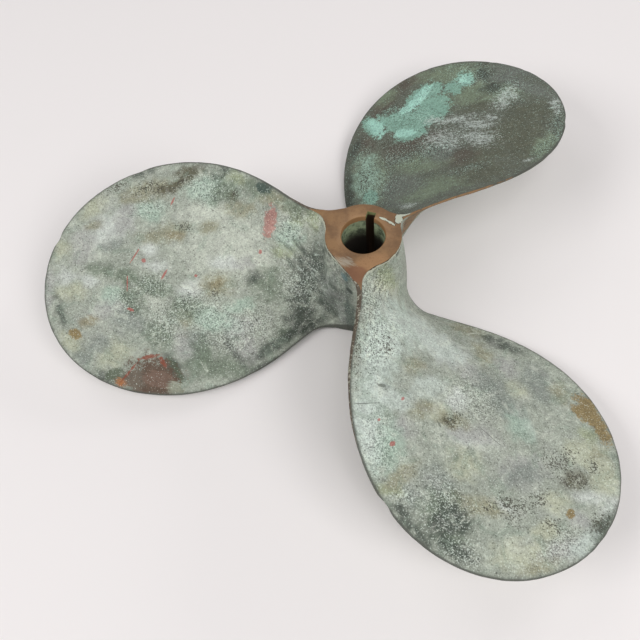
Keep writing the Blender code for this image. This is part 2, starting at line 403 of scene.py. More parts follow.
# Painted shade: faces turned from the top near the sheltered blade's root get the bare metal's colour.
bare_and_shade = np.where(upward < 0.3, np.maximum(bare_and_shade, 1.05 - from_root), bare_and_shade)
keep("bare_and_shade", np.clip(bare_and_shade, -3, 2))
keep("bright", bright)
keep("near_hub", np.clip(1.3 - hub_mm / 10, 0, 1))


def colour(text):
    """An sRGB hex value as linear light."""
    parts = [int(text[k:k + 2], 16) / 255 for k in (0, 2, 4)]
    return (*[c / 12.92 if c <= 0.04045 else ((c + 0.055) / 1.055) ** 2.4 for c in parts], 1.0)


# The crust's colours, and where each lies: ovals placed on the plan view, each with its place, half length,
# half width and turn, in millimetres and degrees. Those from olivedark to sage are only on the
# sheltered blade, and frost is only on the lowest one.
CRUST = {"cream": "c4c9bb", "sallow": "b5b8a0", "silver": "cbd0c9", "lilac": "a6a7a2", "slate": "868d85",
         "mint": "a5b9a9", "moss": "9ba384", "khaki": "93927a", "tan": "8e8668", "fern": "6f7b69",
         "bark": "545039", "pitch": "474f46", "olivedark": "5d5f4f", "umber": "5b5349", "thyme": "7a8770",
         "ash": "6c7169", "shade": "43473f", "sage": "8fa898", "frost": "c3cdc4"}
WASHES = {
    "cream": ((-218, 31, 14, 10, -15), (-106, 17, 35, 18, 0), (-78, 5, 12, 7, 0), (-122, 45, 25, 8, -10),
        (-168, -15, 10, 6, -5)),
    "sallow": ((-227, -43, 12, 5, -15), (-197, -56, 12, 9, 15), (-231, -4, 14, 5, 5),
        (-216, 66, 11, 8, 20), (-241, 32, 9, 7, -20), (143, -148, 14, 9, 0), (152, -167, 14, 8, 65),
        (85, -220, 18, 8, 10), (115, -186, 9, 6, -10), (104, -203, 8, 6, 10), (43, -126, 7, 6, 30),
        (103, -100, 8, 7, 25), (58, -160, 12, 11, 65), (14, -30, 12, 4, 40)),
    "silver": ((-203, 46, 21, 12, 20), (-216, 4, 6, 5, -40), (-164, 12, 9, 4, -15),
        (-108, 9, 13, 4, -10), (-168, 24, 7, 4, -10), (-237, 9, 8, 6, -25), (-136, -9, 9, 7, -5),
        (-34, -9, 8, 1, -50), (-29, -18, 5, 2, -45), (-18, -28, 5, 1, -35), (-23, -22, 7, 1, -45),
        (-4, -144, 17, 5, -90), (0, -116, 9, 6, -20), (31, -50, 18, 15, -60), (52, -66, 19, 11, -40),
        (57, -114, 9, 7, 20), (64, -142, 15, 6, 0), (105, -129, 7, 6, -60), (139, -181, 12, 3, 0),
        (150, -189, 9, 4, 65), (77, -188, 9, 2, -15)),
    "lilac": ((-223, 31, 18, 10, -85), (-188, 52, 11, 8, 65), (-140, -49, 12, 7, 85),
        (-203, -20, 17, 7, 20), (-251, -1, 18, 4, -90), (-92, 7, 8, 3, -5), (-102, -37, 12, 8, 5),
        (-92, -51, 9, 8, 25), (59, -71, 14, 12, -30), (70, -88, 10, 7, -30), (102, -80, 11, 9, -65),
        (64, -138, 18, 7, -5), (128, -197, 8, 6, -60), (115, -215, 17, 5, 25), (18, -140, 8, 7, 25),
        (95, -163, 17, 10, 10)),
    "slate": ((-209, -47, 11, 6, -20), (-217, -57, 8, 5, -40), (-201, 31, 11, 4, 10),
        (-183, -29, 13, 11, -10), (-129, -49, 13, 8, 75), (123, -93, 17, 13, -80),
        (85, -98, 14, 10, -30), (96, -118, 15, 11, -50), (39, -176, 13, 11, 45), (94, -167, 14, 7, 5),
        (21, -187, 12, 6, -20), (131, -209, 9, 4, 40)),
    "mint": ((-116, 64, 22, 9, -10), (-55, 19, 10, 7, -25), (-117, -32, 18, 8, -15),
        (-98, -21, 11, 5, 5), (-168, 54, 12, 6, -15), (-197, -9, 9, 6, 10), (-1, -129, 42, 8, 85),
        (8, -152, 16, 10, 90), (8, -82, 25, 11, 80), (25, -54, 20, 10, -90), (101, -130, 11, 9, -50)),
    "moss": ((-36, 19, 6, 4, -75), (-46, 25, 11, 4, -25), (-60, 11, 9, 4, -5), (-96, 65, 13, 4, -25),
        (15, -26, 10, 2, 25), (4, -181, 10, 3, -15), (150, -135, 8, 4, -20)),
    "khaki": ((-155, 35, 20, 6, 0), (-181, 66, 11, 3, -10), (-215, 50, 7, 3, 10), (-168, 72, 22, 7, 0),
        (-93, 42, 11, 5, -15), (-58, 36, 17, 3, -35), (-69, 44, 8, 4, -20), (-117, -6, 13, 7, 5),
        (-118, 34, 8, 4, -10), (-138, -30, 9, 5, 85), (53, -129, 10, 6, 10), (31, -125, 10, 5, 20),
        (43, -109, 9, 4, 15), (30, -91, 7, 5, 40), (14, -173, 14, 4, 40), (137, -100, 9, 7, -65),
        (57, -188, 16, 6, -5), (70, -192, 10, 4, -5), (96, -226, 12, 3, 15), (153, -150, 6, 4, 20),
        (80, -41, 15, 7, -30), (84, -69, 12, 7, 90)),
    "tan": ((-147, 31, 7, 3, -15), (-117, -6, 6, 3, 5), (-215, -28, 6, 4, 10)),
    "bark": ((-136, 80, 12, 4, 0), (-149, 71, 13, 4, 10), (-98, 53, 5, 3, -40), (51, -130, 4, 3, 20),
        (129, -169, 10, 6, 10), (44, -110, 4, 2, 15)),
    "fern": ((-50, 31, 13, 4, -35), (-78, 54, 13, 5, -35), (-210, 15, 12, 5, -15), (-190, 7, 12, 5, -25),
        (-166, -5, 15, 6, -25), (-180, -14, 14, 8, -60), (-160, -41, 11, 10, -10), (-118, -63, 26, 8, 5),
        (-127, -54, 12, 7, 65), (-140, -23, 11, 9, -5), (-105, 59, 10, 7, -25), (-75, -8, 12, 9, 5),
        (-65, -38, 8, 4, 30), (39, -193, 15, 14, -90), (46, -207, 10, 9, -30), (35, -203, 10, 6, 5),
        (52, -157, 3, 2, 45), (142, -202, 11, 4, 45)),
    "pitch": ((45, -196, 10, 8, -55), (-52, -27, 14, 5, 25), (-172, 89, 11, 4, 5), (-112, 74, 8, 5, -25),
        (-40, -4, 13, 8, -20), (-48, -16, 10, 7, 0), (-24, -23, 16, 3, -35), (-85, -3, 5, 4, 0),
        (-75, -47, 21, 3, 35), (-46, -30, 18, 3, 25), (-83, -63, 14, 3, 30), (-105, -50, 12, 2, -55),
        (-203, -73, 9, 4, -25), (-150, -65, 10, 4, -60), (-240, -18, 15, 2, -70), (38, -202, 8, 6, 15),
        (50, -200, 7, 7, -85), (46, -217, 14, 4, -25), (21, -206, 17, 3, -45), (13, -194, 8, 2, -25),
        (143, -201, 10, 2, 40), (101, -54, 18, 4, -30), (7, -112, 3, 2, -10), (133, -213, 10, 2, 35)),
    "olivedark": ((129, 113, 28, 22, 30), (101, 88, 22, 12, 20), (134, 92, 23, 14, 60),
        (109, 163, 13, 9, 5), (93, 60, 22, 12, 10), (147, 140, 18, 12, 5)),
    "umber": ((42, 130, 18, 10, 0), (9, 148, 12, 8, -65), (62, 133, 12, 7, -15), (83, 95, 13, 11, 40),
        (48, 214, 21, 7, 30), (29, 194, 14, 7, 50), (72, 218, 8, 6, 15)),
    "thyme": ((90, 215, 30, 12, -10), (103, 182, 22, 13, 15), (30, 206, 13, 8, 65),
        (132, 172, 17, 13, 5), (10, 107, 32, 14, -85), (52, 100, 21, 10, -15), (52, 61, 26, 16, -20),
        (147, 88, 18, 7, 60)),
    "ash": ((133, 193, 12, 9, 0), (153, 172, 22, 7, -50), (146, 201, 21, 7, -40), (34, 81, 21, 13, -60),
        (28, 61, 15, 3, -55), (69, 105, 12, 10, 5)),
    "shade": ((-8, 105, 25, 4, 85), (-1, 148, 14, 4, 70), (119, 204, 9, 6, -80), (57, 150, 6, 4, -70),
        (121, 182, 8, 7, 45)),
    "sage": ((7, 109, 28, 9, 88),),
    "frost": ((-8, -143, 18, 7, 80), (15, -122, 13, 7, 15), (-2, -127, 42, 8, 85), (10, -83, 30, 12, 80),
        (31, -54, 19, 17, -20), (54, -67, 18, 14, -30), (40, -108, 11, 7, 25), (128, -212, 11, 5, 35)),
}
# Crusts and stains with a torn outline: how much each hides, its colour, and its ovals.
PATCH_COLOURS = {"verdigris": (0.85, "88b09f"), "aqua": (0.9, "a8d8c8"), "red": (0.6, "ad5750"),
                 "rust": (0.97, "5f4b3c"), "drab": (0.95, "695d50"), "madder": (0.85, "6c4a3a"),
                 "lichen": (0.5, "85846c"), "mould": (0.85, "56604c"),
                 "orange": (0.9, "a9672f"), "ochre": (0.9, "877347"), "dimple": (0.95, "43534b")}
PATCHES = {
    "verdigris": ((16, 169, 16, 8, -65), (45, 164, 29, 15, -20), (60, 191, 20, 9, 55),
        (73, 196, 12, 7, 80), (50, 144, 14, 7, 0), (69, 172, 17, 15, 80), (89, 193, 12, 8, -80),
        (102, 202, 10, 7, -85), (9, 86, 10, 5, -75)),
    "aqua": ((19, 166, 13, 5, -65), (60, 190, 18, 5, 50), (49, 179, 7, 4, 10), (102, 200, 9, 5, 90),
        (44, 149, 9, 4, -15)),
    "rust": ((-166, -77, 21, 20, 0),),
    "drab": ((-179, -74, 8, 8, -40),),
    "madder": ((-162, -74, 8, 6, 0),),
    "lichen": ((-149, -79, 5, 4, 0),),
    "mould": ((-148, -66, 12, 1, -60), (-195, -70, 7, 4, 20)),
    "orange": ((-190, -76, 3, 2.5, -45),),
    "ochre": ((157, -121, 22, 6, -72), (150, -118, 12, 5, -60), (-226, -38, 5, 3, -20),
        (123, -192, 3, 2, 60)),
    "dimple": ((-72, 52, 7, 3, -30), (-12, -31, 4, 3, -45)),
    "red": ((-71, 28, 9, 4, 80),),
}
# Fields of pale salt grains, of dark specks where the crust has fallen off, of chalky dust, of scoured
# streaks and of cracked scales.
FIELDS = {
    "salt": ((-92, -34, 20, 12, 5), (-118, -28, 18, 13, 0), (-136, -18, 12, 10, 0),
        (-121, 64, 19, 10, -20), (-168, -4, 15, 8, -5), (-49, -9, 14, 12, 0), (-156, -32, 17, 16, -10),
        (-185, -15, 13, 9, -10), (-168, 56, 14, 6, -10), (-110, -45, 20, 7, -5), (-54, 23, 11, 6, -15),
        (4, -49, 22, 8, 80), (40, -187, 19, 16, -75), (49, -217, 14, 8, -25), (11, -71, 22, 11, 75),
        (16, -187, 8, 6, -25), (2, -150, 20, 10, 85), (68, -109, 21, 17, 5), (112, -212, 18, 7, 30),
        (51, 170, 22, 12, -30), (66, 193, 18, 7, 50), (10, 108, 24, 11, 85), (15, 99, 29, 14, -85),
        (8, 132, 19, 9, -85), (58, 118, 23, 14, -15), (132, 172, 21, 15, 90), (161, 110, 34, 8, 75),
        (146, 84, 19, 7, 55), (108, 207, 24, 17, -30), (37, 119, 20, 11, -40), (89, 73, 15, 6, 5)),
    "pepper": ((129, -168, 12, 9, 5), (121, -156, 11, 9, 5), (131, -149, 8, 6, 25),
        (87, -187, 14, 8, -5), (84, -196, 8, 6, 20), (104, -183, 8, 5, 10), (109, -200, 9, 6, 10),
        (146, -159, 7, 6, 25), (7, 108, 26, 9, 88), (53, -129, 9, 6, 25), (11, -83, 10, 6, 65),
        (70, -190, 8, 4, 5), (-168, 72, 20, 7, 0), (-143, 72, 13, 6, 10), (-117, -13, 6, 4, -20),
        (-97, 53, 8, 4, -20), (-139, 37, 8, 4, -10), (-199, 80, 11, 5, 20), (30, 140, 14, 9, -45),
        (141, -199, 10, 7, 25), (-9, -91, 28, 2, 85)),
    "chalk": ((102, 134, 22, 12, -30), (69, 154, 15, 7, -15), (86, 149, 23, 9, -10),
        (115, 140, 9, 4, -45), (131, 165, 23, 13, 55), (100, 115, 23, 11, -35), (74, 125, 23, 17, -40),
        (168, 142, 18, 5, 85), (130, 70, 5, 2, 30), (37, 49, 10, 4, -55)),
    "streaks": ((-45, 0, 30, 15, -35), (-28, -19, 15, 4, -45), (-55, 19, 19, 6, -30)),
    "scales": ((-1, -52, 17, 6, 85), (9, -33, 20, 4, 55), (2, -80, 26, 7, 85), (-19, -21, 14, 2, -60)),
}
# The ovals' outlines wander by a few millimetres, in broad and in small waves. The shifts make the two
# directions' waves differ.
BROAD_MM, BROAD_WAVE = 4, 0.020
SMALL_MM, SMALL_WAVE = 1.8, 0.006
SHIFTS = (Vector((-6.7, -1.1, 2.1)), Vector((5.4, 1.4, 4.2)))


def wander(point, shift):
    """How far an outline is moved at a point, in millimetres."""
    broad = BROAD_MM * noise.noise(point / BROAD_WAVE + shift)
    return broad + SMALL_MM * noise.noise(point / SMALL_WAVE + shift)


flat_points = points.reshape(-1, 3)
bend = np.array([[wander(Vector(p), shift) for shift in SHIFTS] for p in flat_points])
rough = np.array([noise.noise(Vector(p) / 0.005) for p in flat_points])


def away(mark):
    """How far out the points lie in an oval mark: 0 at its middle, 1 on its outline."""
    x, y, long, wide, turn = mark
    cosine, sine = math.cos(math.radians(turn)), math.sin(math.radians(turn))
    across, up = (flat_points[:, :2] / MM + bend * min(1, wide / 6) - (x, y)).T
    return np.hypot((across * cosine + up * sine) / (long + 1), (up * cosine - across * sine) / (wide + 1))


facing = np.clip((upward + 0.15) / 0.25, 0, 1)
sheltered = ((place["blade"] == 0) * off_hub * facing)[:, None]
OPEN_BASE, SHELTERED_BASE = colour("9fa598"), colour("62665a")
paint = np.array(OPEN_BASE) * (1 - sheltered) + np.array(SHELTERED_BASE) * sheltered
for name, ovals in WASHES.items():
    for oval in ovals:
        cover = np.clip((1.45 - away(oval) + 0.5 * rough) / 1.05, 0, 1)
        cover = (0.85 * facing * cover * cover * (3 - 2 * cover))[:, None]
        paint = paint * (1 - cover) + np.array(colour(CRUST[name])) * cover
patch, patch_in = paint.copy(), np.full(len(paint), -1.0)
share = np.zeros(len(paint))
for name, ovals in PATCHES.items():
    for oval in ovals:
        deep = 1 - away(oval)
        won = deep > np.where(patch_in > 0, 0.0, -0.35)
        patch[won] = colour(PATCH_COLOURS[name][1])
        share[won] = PATCH_COLOURS[name][0]
        patch_in = np.maximum(patch_in, deep)
keep("patch_in", patch_in)
keep("patch_share", share * facing)
# Rust holds few salt grains.
rusty = np.clip(1.5 - away(PATCHES["rust"][0]), 0, 0.3)
for name, ovals in FIELDS.items():
    field = np.clip(1.3 - np.min([away(oval) for oval in ovals], axis=0), 0, 1)
    keep(name, facing * (field - rusty if name == "salt" else field))
for name, values in (("paint", paint), ("patch", patch)):
    layer = mesh.attributes.new(name, "FLOAT_COLOR", "POINT")
    layer.data.foreach_set("color", values.astype(np.float32).ravel())
casting = bpy.data.objects.new("propeller", mesh)
bpy.context.scene.collection.objects.link(casting)


def node(tree, kind, feeds=(), out=0, **settings):
    """Adds a shader node, feeds its inputs with values or other nodes' outputs, and gives one output."""
    made = tree.nodes.new("ShaderNode" + kind)
    for name, value in settings.items():
        setattr(made, name, value)
    for key, value in dict(feeds).items():
        if isinstance(value, bpy.types.NodeSocket):
            tree.links.new(value, made.inputs[key])
        else:
            made.inputs[key].default_value = value
    return made.outputs[out]


def coat(tree, under, over, value, low, high, share=1.0):
    """Lays one colour over another where a value has gone from low to high; share is how much it hides."""
    feeds = {"Value": value, "From Min": low, "From Max": high, "To Max": share}
    mask = node(tree, "MapRange", feeds, interpolation_type="SMOOTHSTEP")
    return node(tree, "Mix", {0: mask, 6: under, 7: over}, out=2, data_type="RGBA")


def nearest(tree, where, marks):
    """How far out a point lies in the nearest of some oval marks: 0 at its middle, 1 on its outline.
    A mark is its place on the plan view, half its length and width, all in millimetres, and its turn."""
    field = None
    for x, y, long, wide, turn in marks:
        feeds = {"Vector": where, "Location": (x * MM, y * MM, 0), "Rotation": (0, 0, math.radians(turn)),
                 "Scale": (long * MM, wide * MM, 1)}
        local = node(tree, "Mapping", feeds, vector_type="TEXTURE")
        away = node(tree, "VectorMath", {0: local}, out="Value", operation="LENGTH")
        field = away if field is None else node(tree, "Math", {0: field, 1: away}, operation="MINIMUM")
    return field


# Patinated cast bronze: sand-cast bronze under years of salt-water corrosion, a matt grey-green crust of
# copper salts. Its broad colours are the washes kept on the mesh; the nodes add torn edges and grains.
patina = bpy.data.materials.new("patinated cast bronze")
patina.use_nodes = True
tree = patina.node_tree
shader = tree.nodes["Principled BSDF"]
spot = node(tree, "TexCoord", out="Object")
flat = node(tree, "VectorMath", {0: spot, 1: (1, 1, 0)}, operation="MULTIPLY")
kept = {name: node(tree, "Attribute", out="Fac", attribute_name=name)
        for name in ("front", "rim_mm", "pale", "bare_and_shade", "bright", "near_hub", "patch_in", "patch_share",
                     "salt", "pepper", "chalk", "streaks", "scales")}
for name in ("paint", "patch"):
    kept[name] = node(tree, "Attribute", out="Color", attribute_name=name)
# Clouds of 12 mm, tears of 7 mm, grains of 2.6 mm and of 1 mm, which is as fine as the picture shows, and
# broad drifts of 22 mm.
mottle = node(tree, "TexNoise", {"Vector": spot, "Scale": 1 / 0.012, "Detail": 5.0, "Roughness": 0.62,
                                 "Distortion": 0.9})
torn = node(tree, "TexNoise", {"Vector": spot, "Scale": 1 / 0.007, "Detail": 6.0, "Roughness": 0.80})
grain = node(tree, "TexNoise", {"Vector": spot, "Scale": 1 / 0.0026, "Detail": 2.0, "Roughness": 0.8})
sand = node(tree, "TexNoise", {"Vector": spot, "Scale": 1 / 0.0010, "Detail": 1.0, "Roughness": 0.7})
tint = node(tree, "TexNoise", {"Vector": spot, "Scale": 1 / 0.022, "Detail": 4.0, "Roughness": 0.65,
                               "Distortion": 1.4})
speckle = node(tree, "Math", {0: grain, 1: sand}, operation="ADD")

# The broad colours, clouded towards a pinkish grey and a grey-green, with wisps of pale salt.
skin = coat(tree, kept["paint"], colour("aaaba4"), tint, 0.52, 0.64,
            node(tree, "Math", {0: kept["pale"], 1: 0.25}, operation="MULTIPLY"))
skin = coat(tree, skin, colour("8b9a8a"), tint, 0.46, 0.36,
            node(tree, "Math", {0: kept["pale"], 1: 0.40}, operation="MULTIPLY"))
skin = coat(tree, skin, colour("c2c8b9"), mottle, 0.54, 0.70,
            node(tree, "Math", {0: kept["pale"], 1: 0.38}, operation="MULTIPLY"))
swirl = node(tree, "TexNoise", {"Vector": spot, "Scale": 1 / 0.030, "Detail": 2.0, "Roughness": 0.5,
                                "Distortion": 2.5})
wisp = node(tree, "Math", {0: swirl, 1: 0.5, 2: 0.012}, operation="COMPARE")
wisp = node(tree, "Math", {0: wisp, 1: kept["front"]}, operation="MULTIPLY")
wisp = node(tree, "Math", {0: wisp, 1: kept["pale"]}, operation="MULTIPLY")
skin = coat(tree, skin, colour("c9ccbe"), mottle, 0.46, 0.60,
            node(tree, "Math", {0: wisp, 1: 0.35}, operation="MULTIPLY"))

# Near the hub the crust is scoured along its run: dark and pale streaks.
along = node(tree, "Mapping", {"Vector": spot, "Rotation": (0, 0, math.radians(-42)),
                               "Scale": (22 * MM, 3.2 * MM, 22 * MM)}, vector_type="TEXTURE")
scour = node(tree, "TexNoise", {"Vector": along, "Scale": 1.0, "Detail": 4.0, "Roughness": 0.65,
                                "Distortion": 0.6})
skin = coat(tree, skin, colour("4c564d"), scour, 0.50, 0.36,
            node(tree, "Math", {0: kept["streaks"], 1: 0.75}, operation="MULTIPLY"))
skin = coat(tree, skin, colour("bcc7bc"), scour, 0.53, 0.66,
            node(tree, "Math", {0: kept["streaks"], 1: 0.75}, operation="MULTIPLY"))

# Torn-edged crusts and stains, and a dusting of chalk on the sheltered blade.
edge = node(tree, "Math", {0: torn, 1: 2.2, 2: kept["patch_in"]}, operation="MULTIPLY_ADD")
edge = node(tree, "Math", {0: speckle, 1: 0.8, 2: edge}, operation="MULTIPLY_ADD")
skin = coat(tree, skin, kept["patch"], edge, 1.85, 2.15, kept["patch_share"])
drawn = node(tree, "Mapping", {"Vector": spot, "Rotation": (0, 0, math.radians(-14)),
                               "Scale": (16 * MM, 2.2 * MM, 16 * MM)}, vector_type="TEXTURE")
drawn = node(tree, "TexNoise", {"Vector": drawn, "Scale": 1.0, "Detail": 4.0, "Roughness": 0.7,
                                "Distortion": 1.0})
dust = node(tree, "Math", {0: drawn, 1: 1.2}, operation="MULTIPLY")
dust = node(tree, "Math", {0: speckle, 1: 1.3, 2: dust}, operation="MULTIPLY_ADD")
dust = node(tree, "Math", {0: kept["chalk"], 1: 0.75, 2: dust}, operation="MULTIPLY_ADD")
skin = coat(tree, skin, colour("b9c1bb"), dust, 2.20, 2.90, 0.80)

# A thin red-brown ring round the rust.
RING = ((-183, -68, 10, 0.8, 50), (-168, -57, 7, 1.4, 10), (-158, -61, 4, 1.6, -60))
ring = node(tree, "Math", {0: grain, 1: -2.2, 2: nearest(tree, flat, RING)}, operation="MULTIPLY_ADD")
skin = coat(tree, skin, colour("8b4a37"), ring, 0.15, -0.30, 0.8)

# Fine structure: a speckle of light and dark, salt grains, and pits with dark bottoms.
lively = node(tree, "Math", {0: kept["salt"], 1: 0.9, 2: 0.65}, operation="MULTIPLY_ADD")
lively = node(tree, "Math", {0: kept["scales"], 1: 0.9, 2: lively}, operation="MULTIPLY_ADD")
contrast = node(tree, "Math", {0: lively, 1: 1.35}, operation="MULTIPLY")
shade = node(tree, "Math", {0: speckle, 1: 1.0}, operation="SUBTRACT")
shade = node(tree, "Math", {0: shade, 1: contrast, 2: 0.99}, operation="MULTIPLY_ADD")
cloudy = node(tree, "Math", {0: mottle, 1: 0.5}, operation="SUBTRACT")
shade = node(tree, "Math", {0: cloudy, 1: 0.7, 2: shade}, operation="MULTIPLY_ADD")
skin = node(tree, "VectorMath", {0: skin, "Scale": shade}, operation="SCALE")
salt = node(tree, "Mix", {0: kept["pale"], 6: colour("a9c7b9"), 7: colour("d3ddd2")}, out=2,
            data_type="RGBA")
salty = node(tree, "Math", {0: kept["salt"], 1: 0.09, 2: sand}, operation="MULTIPLY_ADD")
skin = coat(tree, skin, salt, salty, 0.635, 0.70, 0.65)
holes = node(tree, "Math", {0: torn, 1: 0.5}, operation="MULTIPLY")
holes = node(tree, "Math", {0: grain, 1: 0.6, 2: holes}, operation="MULTIPLY_ADD")
holes = node(tree, "Math", {0: sand, 1: 0.9, 2: holes}, operation="MULTIPLY_ADD")
holes = node(tree, "Math", {0: kept["pepper"], 1: -0.22, 2: holes}, operation="MULTIPLY_ADD")
skin = coat(tree, skin, colour("4a473c"), holes, 0.785, 0.72,
            node(tree, "Math", {0: kept["front"], 1: 0.85}, operation="MULTIPLY"))
skin = coat(tree, skin, colour("515a50"), sand, 0.36, 0.30,
            node(tree, "Math", {0: lively, 1: 0.5}, operation="MULTIPLY"))

# Hair cracks and nicks in the crust.
CRACKS = ((-5, -126, 10, 0.4, 10), (78, -140, 12, 0.3, -45), (43, -134, 3, 0.7, -65), (6, -112, 3, 1.3, 5))
crack = node(tree, "Math", {0: torn, 1: -2.0, 2: nearest(tree, flat, CRACKS)}, operation="MULTIPLY_ADD")
skin = coat(tree, skin, colour("4e534a"), crack, 0.1, -0.30,
            node(tree, "Math", {0: kept["front"], 1: 0.65}, operation="MULTIPLY"))

# A blue-green stain and a dark pit on the barrel, between the left blade and the lowest one: place and
# reach in millimetres.
SPOTS = (((-15, -28, 36), 4.0, "4f7378", 0.6), ((-12, -32, 22), 3.4, "363f38", 0.9))
for place_mm, reach_mm, hue, share in SPOTS:
    reach = node(tree, "VectorMath", {0: spot, 1: Vector(place_mm) * MM}, out="Value", operation="DISTANCE")
    reach = node(tree, "Math", {0: torn, 1: 0.006, 2: reach}, operation="MULTIPLY_ADD")
    skin = coat(tree, skin, colour(hue), reach, (reach_mm + 3.6) * MM, (reach_mm + 2.4) * MM, share)

# Drips of red antifouling paint.
RED = ((-79, 12, 1.5, 1.2, -10), (-149, 59, 3.5, 0.8, 60), (-180, 21, 7, 0.6, 55),
       (-173, 16, 1.7, 1.5, -35), (-156, 4, 4, 0.9, 55), (-131, 1, 1.2, 1.1, -10), (-186, 0, 6, 0.5, 90),
       (-183, -21, 3, 1.1, -20), (20, -119, 1.6, 0.9, 55), (3, -136, 1.1, 0.8, 50), (11, -151, 2.2, 1.5, 40))
ragged = node(tree, "Math", {0: grain, 1: -1.6, 2: nearest(tree, flat, RED)}, operation="MULTIPLY_ADD")
skin = coat(tree, skin, colour("b0504a"), ragged, 0.375, 0.025,
            node(tree, "Math", {0: kept["front"], 1: 0.70}, operation="MULTIPLY"))

# The rim: a dark line, and a speckled border where the crust is knocked off.
border = node(tree, "Math", {0: torn, 1: 12.0, 2: kept["rim_mm"]}, operation="MULTIPLY_ADD")
skin = coat(tree, skin, colour("5d6158"), border, 9.0, 6.0, 0.6)
skin = coat(tree, skin, colour("4b4d46"), kept["rim_mm"], 1.6, 0.4, 0.7)

# The crust's torn end just under the faced ring: a cream lip with a dark line above it.
height = node(tree, "SeparateXYZ", {0: spot}, out="Z")
lip = node(tree, "Math", {0: torn, 1: 0.006, 2: height}, operation="MULTIPLY_ADD")
skin = coat(tree, skin, colour("c6c7b2"), lip, TOP_Z + 0.0002, TOP_Z + 0.0012, kept["near_hub"])
skin = coat(tree, skin, colour("4d4032"), lip, TOP_Z + 0.0018, TOP_Z + 0.0024, kept["near_hub"])

# Bare bronze where the high edges near the hub are rubbed, and the same colour as painted shade on the
# sheltered blade's back behind its root: bright on the sheltered blade, dull on the others, with crumbs of
# crust left on it.
rubbed_and_shaded = node(tree, "Math", {0: torn, 1: 0.9, 2: kept["bare_and_shade"]}, operation="MULTIPLY_ADD")
gleam = node(tree, "Math", {0: kept["bright"], 1: 0.35, 2: grain}, operation="MULTIPLY_ADD")
metal = coat(tree, colour("5b4f42"), colour("8e6f4d"), gleam, 0.58, 0.78)
crumbs = node(tree, "Math", {0: 0.7, 1: kept["bright"]}, operation="SUBTRACT")
metal = coat(tree, metal, colour("b4b5a3"), grain, 0.53, 0.62, crumbs)
# This coat also lays the painted shade on the sheltered blade's back behind its root.
skin = coat(tree, skin, metal, rubbed_and_shaded, 0.62, 0.86, 0.95)
tree.links.new(skin, shader.inputs["Base Color"])
shader.inputs["Roughness"].default_value = 0.78
fine = node(tree, "Math", {0: grain, 1: 0.6, 2: torn}, operation="MULTIPLY_ADD")
bump = node(tree, "Bump", {"Height": fine, "Strength": 0.5, "Distance": 0.0006})
tree.links.new(bump, shader.inputs["Normal"])

# Faced bronze: the hub's ends were turned flat; the metal is bare, brown and dull, with a pale scuff, a
# redder cloud, and flakes of cream crust beside the bore.
faced = bpy.data.materials.new("faced bare bronze")
faced.use_nodes = True
tree = faced.node_tree
shader = tree.nodes["Principled BSDF"]
spot = node(tree, "TexCoord", out="Object")
flat = node(tree, "VectorMath", {0: spot, 1: (1, 1, 0)}, operation="MULTIPLY")
cloud = node(tree, "TexNoise", {"Vector": spot, "Scale": 1 / 0.014, "Detail": 5.0, "Roughness": 0.65})
grain = node(tree, "TexNoise", {"Vector": spot, "Scale": 1 / 0.0016, "Detail": 3.0, "Roughness": 0.7})
fibre = node(tree, "Mapping", {"Vector": spot, "Rotation": (0, 0, math.radians(-35)),
                               "Scale": (9 * MM, 1.3 * MM, 9 * MM)}, vector_type="TEXTURE")
fibre = node(tree, "TexNoise", {"Vector": fibre, "Scale": 1.0, "Detail": 4.0, "Roughness": 0.7,
                                "Distortion": 0.8})
metal = coat(tree, colour("85674c"), colour("a17e5a"), cloud, 0.35, 0.65)
glow = node(tree, "Math", {0: cloud, 1: -0.8, 2: nearest(tree, flat, ((4, -24, 13, 7, 15),))},
            operation="MULTIPLY_ADD")
metal = coat(tree, metal, colour("b88e66"), glow, 0.80, 0.20, 0.8)
metal = coat(tree, metal, colour("8c6344"), grain, 0.55, 0.68, 0.5)
spur = node(tree, "Math", {0: cloud, 1: -0.5, 2: nearest(tree, flat, ((-7, -33, 9, 7, -10),))},
            operation="MULTIPLY_ADD")
metal = coat(tree, metal, colour("8a5f48"), spur, 1.00, 0.50, 0.7)
scuff = node(tree, "Math", {0: fibre, 1: -2.0, 2: nearest(tree, flat, ((-15, -22, 13, 7, -20),))},
             operation="MULTIPLY_ADD")
metal = coat(tree, metal, colour("bdb4a2"), scuff, -0.20, -0.80, 0.75)
FLAKES = ((26, 12, 5.5, 3.6, 80), (31, 17, 7, 2.2, 25), (20, 10, 5, 1.5, -40), (16, 13, 4, 1.1, -30))
flake = node(tree, "Math", {0: cloud, 1: -2.4, 2: nearest(tree, flat, FLAKES)}, operation="MULTIPLY_ADD")
flake = node(tree, "Math", {0: grain, 1: -0.9, 2: flake}, operation="MULTIPLY_ADD")
metal = coat(tree, metal, colour("3f352a"), flake, -0.62, -0.72, 0.7)
metal = coat(tree, metal, colour("cdd2c0"), flake, -0.78, -0.86)
tree.links.new(metal, shader.inputs["Base Color"])
shader.inputs["Metallic"].default_value = 0.35
shader.inputs["Roughness"].default_value = 0.5
bump = node(tree, "Bump", {"Height": grain, "Strength": 0.25, "Distance": 0.0003})
tree.links.new(bump, shader.inputs["Normal"])

# Bore wall: bored bronze that has turned green inside, bare and orange-brown just below its mouth, with
# painted shade darkening it to near black deeper down. The key seat's floor is brown, with a green crust at
# its open end.
bored = bpy.data.materials.new("tarnished bore wall with painted shade")
bored.use_nodes = True
tree = bored.node_tree
shader = tree.nodes["Principled BSDF"]
spot = node(tree, "TexCoord", out="Object")
flat = node(tree, "VectorMath", {0: spot, 1: (1, 1, 0)}, operation="MULTIPLY")
height = node(tree, "SeparateXYZ", {0: spot}, out="Z")
reach = node(tree, "VectorMath", {0: flat}, out="Value", operation="LENGTH")
